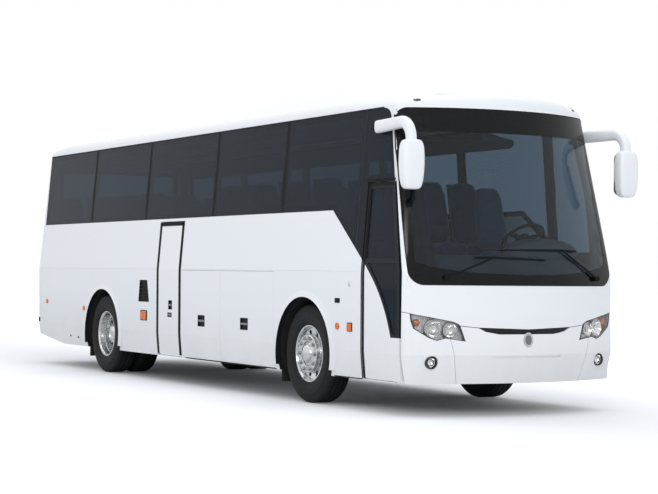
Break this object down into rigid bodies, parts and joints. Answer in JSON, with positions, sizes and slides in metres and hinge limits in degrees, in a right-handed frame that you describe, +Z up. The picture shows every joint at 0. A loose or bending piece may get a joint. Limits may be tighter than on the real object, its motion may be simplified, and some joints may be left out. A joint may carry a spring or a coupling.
{
  "type": "touring coach bus",
  "caption": "Two-axle touring coach with a hollow cabin, steered front wheels, twin rear wheels, outward swinging doors, luggage flaps and an engine lid.",
  "frame": {"origin": "on the ground, under the middle of the coach's bounding box", "axes": "+X forward to the windscreen, +Y to the coach's left, +Z up"},
  "size_m": [10.5993, 2.82, 3.3449],
  "materials": {
    "white_paint": "glossy white two-pack paint",
    "tinted_glass": "dark tinted bonded glass",
    "screen_glass": "laminated windscreen glass with a dark border",
    "lamp_clear": "clear moulded lamp lens",
    "lamp_red": "moulded red lens",
    "lamp_amber": "moulded amber lens",
    "black_trim": "black moulded trim",
    "white_plastic": "painted moulded housing",
    "dash_plastic": "grained dashboard moulding",
    "floor_vinyl": "plywood floor with vinyl covering",
    "chassis_steel": "black chassis paint",
    "bay_liner": "mill finished sheet lining",
    "liner_plastic": "moulded black wheel arch liner",
    "engine_iron": "painted cast iron",
    "axle_iron": "black painted forging",
    "wheel_alloy": "polished forged aluminium",
    "tyre_rubber": "moulded black rubber",
    "arm_steel": "black powder coated tube",
    "seat_fabric": "woven seat moquette"
  },
  "bodies": {
    "coach": {"side_wall_right": "white_paint", "side_wall_left": "white_paint", "roof": "white_paint", "front_panel": "white_paint", "front_bumper": "white_paint", "front_grille": "black_trim", "windscreen": "screen_glass", "side_windows_right": "tinted_glass", "side_windows_left": "tinted_glass", "rear_panel": "white_paint", "rear_window": "tinted_glass", "front_lamps": "lamp_clear", "tail_lamps": "lamp_red", "marker_lamps": "lamp_amber", "roof_air_unit": "white_plastic", "mirrors": "white_plastic", "wipers": "black_trim", "chassis_frame": "chassis_steel", "cabin_floor": "floor_vinyl", "luggage_bay": "bay_liner", "wheel_arches": "liner_plastic", "engine_block": "engine_iron", "front_axle": "axle_iron", "rear_axle": "axle_iron", "dashboard": "dash_plastic", "driver_seat": "seat_fabric", "passenger_seats": "seat_fabric"},
    "steering_right": {"knuckle_right": "axle_iron"},
    "front_wheel_right": {"front_rim_right": "wheel_alloy", "front_tyre_right": "tyre_rubber"},
    "rear_wheels_right": {"rear_rims_right": "wheel_alloy", "rear_tyres_right": "tyre_rubber"},
    "steering_left": {"knuckle_left": "axle_iron"},
    "front_wheel_left": {"front_rim_left": "wheel_alloy", "front_tyre_left": "tyre_rubber"},
    "rear_wheels_left": {"rear_rims_left": "wheel_alloy", "rear_tyres_left": "tyre_rubber"},
    "front_door_arm": {"front_door_arm": "arm_steel"},
    "front_door_leaf": {"front_door": "white_paint", "front_door_glass": "tinted_glass"},
    "mid_door_arm": {"mid_door_arm": "arm_steel"},
    "mid_door_leaf": {"mid_door": "white_paint"},
    "luggage_flap_right_rear": {"luggage_flap_right_rear": "white_paint"},
    "luggage_flap_right_front": {"luggage_flap_right_front": "white_paint"},
    "luggage_flap_left_rear": {"luggage_flap_left_rear": "white_paint"},
    "luggage_flap_left_front": {"luggage_flap_left_front": "white_paint"},
    "engine_lid": {"engine_lid": "white_paint"}
  },
  "joints": [
    {"name": "steer_right", "type": "hinge", "parent": "coach", "child": "steering_right", "pos_m": [3.02, -0.94, 0.52], "axis": [0, 0, 1], "range_deg": [-45, 45]},
    {"name": "front_wheel_spin_right", "type": "hinge", "parent": "steering_right", "child": "front_wheel_right", "pos_m": [3.02, -1.07, 0.52], "axis": [0, 1, 0], "continuous": true},
    {"name": "rear_wheel_spin_right", "type": "hinge", "parent": "coach", "child": "rear_wheels_right", "pos_m": [-2.64, -0.915, 0.52], "axis": [0, 1, 0], "continuous": true},
    {"name": "steer_left", "type": "hinge", "parent": "coach", "child": "steering_left", "pos_m": [3.02, 0.94, 0.52], "axis": [0, 0, 1], "range_deg": [-45, 45]},
    {"name": "front_wheel_spin_left", "type": "hinge", "parent": "steering_left", "child": "front_wheel_left", "pos_m": [3.02, 1.07, 0.52], "axis": [0, 1, 0], "continuous": true},
    {"name": "rear_wheel_spin_left", "type": "hinge", "parent": "coach", "child": "rear_wheels_left", "pos_m": [-2.64, 0.915, 0.52], "axis": [0, 1, 0], "continuous": true},
    {"name": "front_door_swing", "type": "hinge", "parent": "coach", "child": "front_door_arm", "pos_m": [4.85, -1.085, 1], "axis": [0, 0, 1], "range_deg": [0, 130]},
    {"name": "front_door_leaf_turn", "type": "hinge", "parent": "front_door_arm", "child": "front_door_leaf", "pos_m": [4.41, -1.085, 1], "axis": [0, 0, 1], "range_deg": [-130, 0]},
    {"name": "mid_door_swing", "type": "hinge", "parent": "coach", "child": "mid_door_arm", "pos_m": [-0.735, -1.085, 1], "axis": [0, 0, -1], "range_deg": [0, 130]},
    {"name": "mid_door_leaf_turn", "type": "hinge", "parent": "mid_door_arm", "child": "mid_door_leaf", "pos_m": [-0.295, -1.085, 1], "axis": [0, 0, -1], "range_deg": [-130, 0]},
    {"name": "luggage_flap_right_rear_hinge", "type": "hinge", "parent": "coach", "child": "luggage_flap_right_rear", "pos_m": [0.5, -1.264, 1.382], "axis": [-1, 0, 0], "range_deg": [0, 85]},
    {"name": "luggage_flap_right_front_hinge", "type": "hinge", "parent": "coach", "child": "luggage_flap_right_front", "pos_m": [1.67, -1.264, 1.382], "axis": [-1, 0, 0], "range_deg": [0, 85]},
    {"name": "luggage_flap_left_rear_hinge", "type": "hinge", "parent": "coach", "child": "luggage_flap_left_rear", "pos_m": [0.5, 1.264, 1.382], "axis": [1, 0, 0], "range_deg": [0, 85]},
    {"name": "luggage_flap_left_front_hinge", "type": "hinge", "parent": "coach", "child": "luggage_flap_left_front", "pos_m": [1.67, 1.264, 1.382], "axis": [1, 0, 0], "range_deg": [0, 85]},
    {"name": "engine_lid_hinge", "type": "hinge", "parent": "coach", "child": "engine_lid", "pos_m": [-5.281, 0, 1.64], "axis": [0, 1, 0], "range_deg": [0, 75]}
  ],
  "couplings": [
    {"joint": "steer_left", "follows": "steer_right", "ratio": 1},
    {"joint": "front_door_leaf_turn", "follows": "front_door_swing", "ratio": -1},
    {"joint": "mid_door_leaf_turn", "follows": "mid_door_swing", "ratio": -1}
  ]
}
